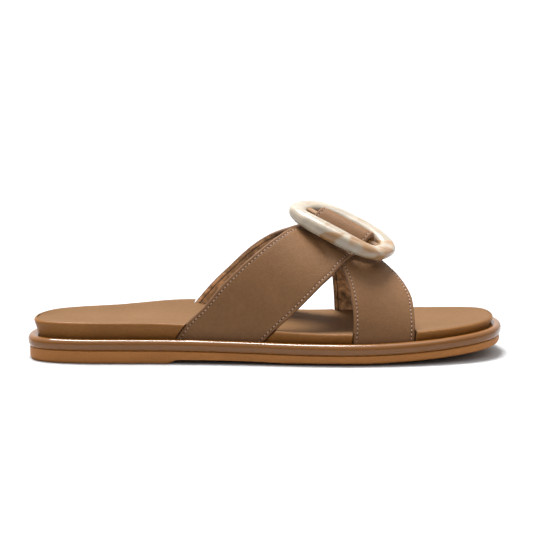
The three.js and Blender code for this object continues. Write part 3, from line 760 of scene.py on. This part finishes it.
class SANDAL_OT_footbed(bpy.types.Operator):
    """Builds the leather footbed, with a cup, an arch and notches where the straps go in."""
    bl_idname = "sandal.footbed"
    bl_label = "Footbed"

    def execute(self, context):
        form, colours = Form(context.scene.sandal_sizes), context.scene.sandal_colours
        wall_inset = form.welt_width + CLEARANCE
        base = form.outline
        edge = form.bed_edge(base[:, 0], base[:, 1])
        overhang = BED_LEAN * (edge - form.sole_top(base[:, 0]) - form.welt_height)

        def level(inset, height):
            flat = form.ring(inset)
            return stack(flat[:, 0], flat[:, 1], height(flat[:, 0], flat[:, 1]))

        lower = [
            level(wall_inset, lambda x, y: form.sole_top(x) + CLEARANCE),
            level(wall_inset, lambda x, y: form.sole_top(x) + form.welt_height),
        ]
        full = level(wall_inset - overhang, lambda x, y: form.bed_edge(x, y) - BED_EDGE_ROUND)
        for share in (0.25, 0.5, 0.75):
            lower.append(lerp(lower[1], full, share))
        lower.append(full)
        rim = [full]
        for turn in np.radians([10, 20, 30, 40, 50, 60, 70, 80, 90]):
            rim.append(level(
                wall_inset - overhang + BED_EDGE_ROUND * (1 - np.cos(turn)),
                lambda x, y: form.bed_edge(x, y) - BED_EDGE_ROUND * (1 - np.sin(turn))))
        lower, rim = np.array(lower), np.array(rim)
        seam = 6

        def dish(x, z, across):
            """The hollow of the bed: full along the middle, and gone at its edges and both ends."""
            hollow = lerp(HEEL_CUP, BALL_HOLLOW, form.towards_ball(x))
            ends = 1 - np.abs(2 * x / form.length) ** 6
            return z - hollow * ends * (1 - (2 * across - 1) ** 4) ** 1.5

        parts = [
            sheet(rungs(lower[0], COLUMNS, lambda x, z, across: form.sole_top(x) + CLEARANCE), 1),
            sheet(lower, 1, closed=True),
            sheet(rim[:seam + 1], 1, closed=True),
            sheet(rim[seam:], 0, closed=True),
            sheet(rungs(rim[-1], COLUMNS, dish), 0),
        ]
        cover = leather("Footbed sheepskin", colours.footbed, grain=1.3, depth=0.55, roughness=0.75,
                        mottle=0.09, specular=0.1)
        wrap = leather("Footbed side leather", colours.footbed_wall, grain=1.4, depth=0.6, roughness=0.5,
                       mottle=0.12, specular=0.2)
        piece = make("footbed_body", parts, [cover, wrap], "footbed", weld=0.02)
        for table in (LOWER_STRAP, TOP_STRAP):
            for start, end in ((0, NOTCH_SHARE), (1 - NOTCH_SHARE, 1)):
                self.notch(form, piece, table, start, end)
        piece.data.set_sharp_from_angle(angle=np.radians(50))
        return {"FINISHED"}

    def notch(self, form, piece, table, start, end):
        """Cuts the strap's foot, grown by its clearance, out of the footbed."""
        around = np.linspace(start, end, NOTCH_STEPS)[:, None]
        aside = np.linspace(-1, 1, NOTCH_STEPS)[None]
        x = form.strap_x(table, around, (aside + 1) / 2) + 1.5 * CLEARANCE * aside
        face = form.strap_inner(table, x, around + 0 * x)
        foot = face[0 if start == 0 else -1] - np.array([0, 0, form.strap_wall])
        face = np.concatenate([foot[None], face] if start == 0 else [face, foot[None]])
        normal = grid_normals(face)
        near, far = face - CLEARANCE * normal, face + 3 * form.strap_wall * normal
        ends = [np.stack([near[i], far[i]]) for i in (0, -1)]
        sides = [np.stack([near[:, j], far[:, j]]) for j in (0, -1)]
        parts = [sheet(part) for part in (near, far, *ends, *sides)]
        cutter = make("notch", parts, [], None)
        modifier = piece.modifiers.new("Notch", "BOOLEAN")
        modifier.object = cutter
        modifier.solver = "EXACT"
        with bpy.context.temp_override(object=piece, active_object=piece, selected_objects=[piece]):
            bpy.ops.object.modifier_apply(modifier=modifier.name)
        bpy.data.objects.remove(cutter, do_unlink=True)


class SANDAL_OT_straps(bpy.types.Operator):
    """Builds the two crossed straps: leather outside, lining inside, painted edges and stitches."""
    bl_idname = "sandal.straps"
    bl_label = "Straps"

    def execute(self, context):
        form, colours = Form(context.scene.sandal_sizes), context.scene.sandal_colours
        outside = leather("Dyed calf", colours.strap, grain=1.2, depth=0.7, roughness=0.55, mottle=0.15,
                          specular=0.14)
        edge = leather("Painted strap edge", colours.strap_edge, grain=1.0, depth=0.1, roughness=0.45,
                       mottle=0.06, specular=0.3)
        inside = pigskin("Pigskin lining", colours.lining)
        threads = [waxed_thread("Waxed thread", colours.thread),
                   waxed_thread("Lining thread", colours.lining_thread)]
        # Dark discs painted as the shadow in the needle holes.
        hole = needle_hole_shadow("Needle hole shadow", colours.hole)
        for name, table in (("lower_strap", LOWER_STRAP), ("top_strap", TOP_STRAP)):
            self.strap(form, name, table, [outside, edge, inside], threads, hole)
        return {"FINISHED"}

    def strap(self, form, name, table, leathers, threads, hole):
        """One strap: lanes at set distances from each edge run round the last. Its section is flat
        outside and inside, with a shallow valley under the stitches and rounded cut edges."""
        around = np.linspace(0, 1, STRAP_STEPS + 1)[:, None]
        near_edge = np.array([*EDGE_LANES, form.stitch_inset, *LANES_PAST_STITCHES])
        rear, front = (form.strap_x(table, around, share) for share in (0, 1))
        rear_step = self.edge_step(form, table, around, 0)
        front_step = self.edge_step(form, table, around, 1)
        left = rear + near_edge[None] / rear_step
        right = front - near_edge[None, ::-1] / front_step
        blend = np.linspace(0, 1, MIDDLE_LANES + 2)[None, 1:-1]
        x = np.concatenate([left, lerp(left[:, -1:], right[:, :1], blend), right], axis=1)
        middle = np.full(MIDDLE_LANES, FAR_FROM_EDGE)
        inward = np.concatenate([near_edge, middle, near_edge[::-1]])[None, :, None]

        face = form.strap_inner(table, x, around + 0 * x)
        normal = grid_normals(face)
        corner = np.clip(1 - inward / STRAP_EDGE_ROUND, 0, 1)
        full = (1 - corner ** STRAP_EDGE_SQUARENESS) ** (1 / STRAP_EDGE_SQUARENESS)
        valley = VALLEY_DEPTH * np.exp(-((inward - form.stitch_inset) / VALLEY_WIDTH) ** 2)
        half = form.strap_wall / 2
        outer = face + normal * (half + half * full - valley)
        inner = face + normal * (half - half * full + VALLEY_SHARE_INSIDE * valley)
        edge_lanes = 4
        parts = [
            sheet(outer[:, edge_lanes:-edge_lanes], 0),
            sheet(outer[:, :edge_lanes + 1], 1), sheet(outer[:, -edge_lanes - 1:], 1),
            sheet(inner[:, :edge_lanes + 1], 1), sheet(inner[:, -edge_lanes - 1:], 1),
            sheet(inner[:, edge_lanes:-edge_lanes], 2),
            sheet(np.stack([outer[0], inner[0]]), 1), sheet(np.stack([outer[-1], inner[-1]]), 1),
        ]
        make(name, parts, leathers, "upper", weld=0.004)

        stitch_lane = len(EDGE_LANES)
        rows = []
        for surface, out in ((outer, 1), (inner, -1)):
            for lane in (stitch_lane, surface.shape[1] - 1 - stitch_lane):
                rows.append((surface[:, lane], out * normal[:, lane]))
        self.stitches(form, name, rows, threads, hole)

    def edge_step(self, form, table, around, share):
        """How far across the strap one millimetre along the foot goes, at one of its edges."""
        small, least, most = 0.002, 0.3, 1.2
        low, high = np.clip(around - small, 0, 1), np.clip(around + small, 0, 1)
        start = form.last(form.strap_x(table, low, share), low)
        way = unit(form.last(form.strap_x(table, high, share), high) - start)
        x = form.strap_x(table, around, share)
        along = (form.last(x + 1, around) - form.last(x - 1, around)) / 2
        along = along - np.sum(along * way, axis=-1, keepdims=True) * way
        return np.clip(np.linalg.norm(along, axis=-1), least, most)

    def stitches(self, form, name, rows, threads, hole):
        """Stitches at equal steps along each row, and a dark disc of painted needle-hole shadow halfway
        between two of them.
        The first two rows are outside, the last two inside in the lining's own thread."""
        turn = np.linspace(0, 2 * np.pi, 7)[:-1]
        length = np.linspace(-1, 1, 7)
        bow = np.sqrt(1 - 0.97 * length ** 2)
        bead = stack(
            STITCH_HALF_LENGTH * form.stitch_pitch * length[:, None],
            THREAD_HALF_WIDTH * np.cos(turn)[None] * bow[:, None],
            THREAD_HALF_HEIGHT * np.sin(turn)[None] * bow[:, None] + THREAD_ARCH * bow[:, None] - THREAD_SINK)
        bead_points, bead_quads, _ = sheet(bead, closed=True)
        reach = np.array([1.0, 0.6, 0.02])[:, None]
        dot = stack(
            HOLE_HALF_LENGTH * np.cos(turn)[None] * reach,
            HOLE_HALF_WIDTH * np.sin(turn)[None] * reach,
            np.array([0.0, 0.07, 0.08])[:, None])
        dot_points, dot_quads, _ = sheet(dot, closed=True)
        for piece, points, quads, shift, materials in (
            ("stitches", bead_points, bead_quads, 0.0, threads),
            ("needle_hole_shadow_discs", dot_points, dot_quads, 0.5, [hole]),
        ):
            parts = []
            for row, (path, normal) in enumerate(rows):
                run = np.concatenate([[0], np.cumsum(np.linalg.norm(np.diff(path, axis=0), axis=1))])
                count = int(run[-1] / form.stitch_pitch)
                at = form.stitch_pitch * (np.arange(STITCHES_LEFT_OUT, count - STITCHES_LEFT_OUT + 1) + shift)
                place = read_path(at, run, path)
                along = unit(read_path(at + 0.5, run, path) - place)
                vertices, faces = copies(points, quads, place, along, unit(read_path(at, run, normal)))
                parts.append((vertices, faces, min(row // 2, len(materials) - 1)))
            make(f"{name}_{piece}", parts, materials, "upper", weld=0.0)


class SANDAL_OT_buckle(bpy.types.Operator):
    """Builds the resin buckle: a rounded rim between two squarish ovals, highest along its sides,
    and a bar under the strap. Each oval's point is the 2/n-th power of cosine and sine."""
    bl_idname = "sandal.buckle"
    bl_label = "Buckle"

    def execute(self, context):
        form, colours = Form(context.scene.sandal_sizes), context.scene.sandal_colours
        tilt = tuple(np.radians([0.0, -BUCKLE_PITCH, BUCKLE_TURN]))
        polished = cast_resin("Marbled cast resin, polished", colours.resin, colours.marbling, tilt, 0.4)
        # The bar is coloured all in the caramel of the marbling, as painted shade for the bar in the strap's
        # shadow.
        dull = cast_resin("Marbled cast resin, as cast, in painted shade", colours.marbling, colours.marbling, tilt, 0.0)

        def bend(value, power):
            return np.sign(value) * np.abs(value) ** power

        def in_place(local):
            return (form.buckle_middle + local[..., :1] * form.bar + local[..., 1:2] * form.cross
                    + local[..., 2:] * form.up)

        def oval(length, width, squareness):
            return stack(length / 2 * bend(np.cos(angle), 2 / squareness),
                         width / 2 * bend(np.sin(angle), 2 / squareness), 0 * angle)

        angle = np.linspace(0, 2 * np.pi, 361)[None, :-1]
        turn = np.linspace(0, 2 * np.pi, 49)[:, None]
        opening = oval(form.buckle_length - 2 * form.rim_at_ends,
                       form.buckle_width - 2 * form.rim_at_sides, OPENING_SQUARENESS)
        outside = oval(form.buckle_length, form.buckle_width, BUCKLE_SQUARENESS)
        ring = lerp(opening, outside, (1 + bend(np.cos(turn), RIM_FULLNESS))[..., None] / 2)
        crest = lerp(form.crest_at_ends, form.crest_at_sides, np.sin(angle) ** 2)
        ring[..., 2] = bend(np.sin(turn), RIM_FULLNESS) * np.where(np.sin(turn) > 0, crest, RIM_DEPTH)
        make("buckle_rim", [sheet(in_place(ring), closed=True)], [polished], "buckle")

        along = np.linspace(-1, 1, 25)[:, None] * (form.buckle_length - form.rim_at_ends) / 2
        turn = np.linspace(0, 2 * np.pi, 33)[None, :-1]
        bar = stack(along + 0 * turn,
                    BAR_WIDTH / 2 * bend(np.cos(turn), 2 / BAR_SQUARENESS),
                    BAR_THICKNESS / 2 * bend(np.sin(turn), 2 / BAR_SQUARENESS))
        ends = [np.stack([bar[i], np.broadcast_to(bar[i].mean(axis=0), bar[i].shape)]) for i in (0, -1)]
        parts = [sheet(in_place(part), closed=True) for part in (bar, *ends)]
        make("buckle_bar", parts, [dull], "buckle", sharp=50)
        return {"FINISHED"}


class SANDAL_OT_stage(bpy.types.Operator):
    """Builds the pale floor, the lights and the camera."""
    bl_idname = "sandal.stage"
    bl_label = "Stage"

    def execute(self, context):
        colours = context.scene.sandal_colours
        side = 30.0
        mesh = bpy.data.meshes.new("floor")
        corners = [(-side, -side, 0), (side, -side, 0), (side, side, 0), (-side, side, 0)]
        mesh.from_pydata(corners, [], [(0, 1, 2, 3)])
        mesh.materials.append(studio_paper("Studio paper", colours.floor))
        floor = bpy.data.objects.new("floor", mesh)
        context.scene.collection.objects.link(floor)

        lamp = bpy.data.lights.new("overhead_light", "SUN")
        lamp.energy = 7.0
        lamp.angle = np.radians(26)
        holder = bpy.data.objects.new("overhead_light", lamp)
        toward = np.array([-0.16, 0.26, 1.0])
        holder.matrix_world = look(toward, -toward)
        context.scene.collection.objects.link(holder)

        lamp = bpy.data.lights.new("strip_light", "AREA")
        lamp.shape = "RECTANGLE"
        lamp.size, lamp.size_y = 1.6, 0.3
        lamp.energy = 5.0
        holder = bpy.data.objects.new("strip_light", lamp)
        toward = np.array([-0.2, -0.12, 1.2])
        holder.matrix_world = look(toward, np.array([-0.2, 0.0, 0.05]) - toward)
        holder.visible_diffuse = False
        context.scene.collection.objects.link(holder)

        # The air is bright overhead and behind, and dim in front.
        world = bpy.data.worlds.new("Studio air")
        world.use_nodes = True
        tree = world.node_tree
        backdrop = tree.nodes["Background"]
        way = node(tree, "ShaderNodeTexCoord").outputs["Generated"]
        rise = node(tree, "ShaderNodeVectorMath", {0: way, 1: (0.0, 0.3, 0.954)}, operation="DOT_PRODUCT")
        level = node(tree, "ShaderNodeMapRange", {
            "Value": rise.outputs["Value"], "From Min": -1.0, "From Max": 1.0})
        glow = ramp(tree, level.outputs["Result"], [
            (0.38, (0.3, 0.3, 0.3, 1.0)), (0.6, (0.38, 0.38, 0.38, 1.0)), (0.85, (0.9, 0.9, 0.9, 1.0))])
        tree.links.new(glow, backdrop.inputs["Color"])
        backdrop.inputs["Strength"].default_value = 1.4
        context.scene.world = world
        context.scene.view_settings.view_transform = "Standard"

        lens = bpy.data.cameras.new("photo_camera")
        lens.lens = 145.9
        lens.sensor_width = 36.0
        lens.shift_x = 0.0011
        lens.shift_y = 0.0417
        camera = bpy.data.objects.new("photo_camera", lens)
        lift = np.radians(9.5)
        way = np.array([0.0, np.cos(lift), -np.sin(lift)])
        camera.matrix_world = look(np.array([0.0, 0.0, 0.035]) - 1.2 * way, way)
        context.scene.collection.objects.link(camera)
        context.scene.camera = camera
        return {"FINISHED"}


def look(place, way):
    """The matrix of a lamp or camera at place that looks along way, its top towards the sky."""
    back = -unit(np.asarray(way, dtype=float))
    right = unit(np.cross([0.0, 0.0, 1.0], back))
    top = np.cross(back, right)
    matrix = np.eye(4)
    matrix[:3, 0], matrix[:3, 1], matrix[:3, 2], matrix[:3, 3] = right, top, back, place
    return Matrix(matrix.tolist())


class SANDAL_PT_panel(bpy.types.Panel):
    """Lists the sandal's pieces, sizes and colours."""
    bl_label = "Slide sandal"
    bl_idname = "SANDAL_PT_panel"
    bl_space_type = "VIEW_3D"
    bl_region_type = "UI"
    bl_category = "Sandal"

    def draw(self, context):
        for operator in OPERATORS:
            self.layout.operator(operator.bl_idname)
        for group in (context.scene.sandal_sizes, context.scene.sandal_colours):
            box = self.layout.box()
            for name in type(group).__annotations__:
                box.prop(group, name)


OPERATORS = (
    SANDAL_OT_stage, SANDAL_OT_outsole, SANDAL_OT_welt,
    SANDAL_OT_footbed, SANDAL_OT_straps, SANDAL_OT_buckle,
)
CLASSES = (SandalSizes, SandalColours, *OPERATORS, SANDAL_PT_panel)


def register():
    for cls in CLASSES:
        bpy.utils.register_class(cls)
    bpy.types.Scene.sandal_sizes = PointerProperty(type=SandalSizes)
    bpy.types.Scene.sandal_colours = PointerProperty(type=SandalColours)


def unregister():
    del bpy.types.Scene.sandal_colours
    del bpy.types.Scene.sandal_sizes
    for cls in reversed(CLASSES):
        bpy.utils.unregister_class(cls)


def main():
    """Registers the add-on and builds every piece."""
    register()
    bpy.ops.sandal.stage()
    bpy.ops.sandal.outsole()
    bpy.ops.sandal.welt()
    bpy.ops.sandal.footbed()
    bpy.ops.sandal.straps()
    bpy.ops.sandal.buckle()


if __name__ == "__main__":
    main()
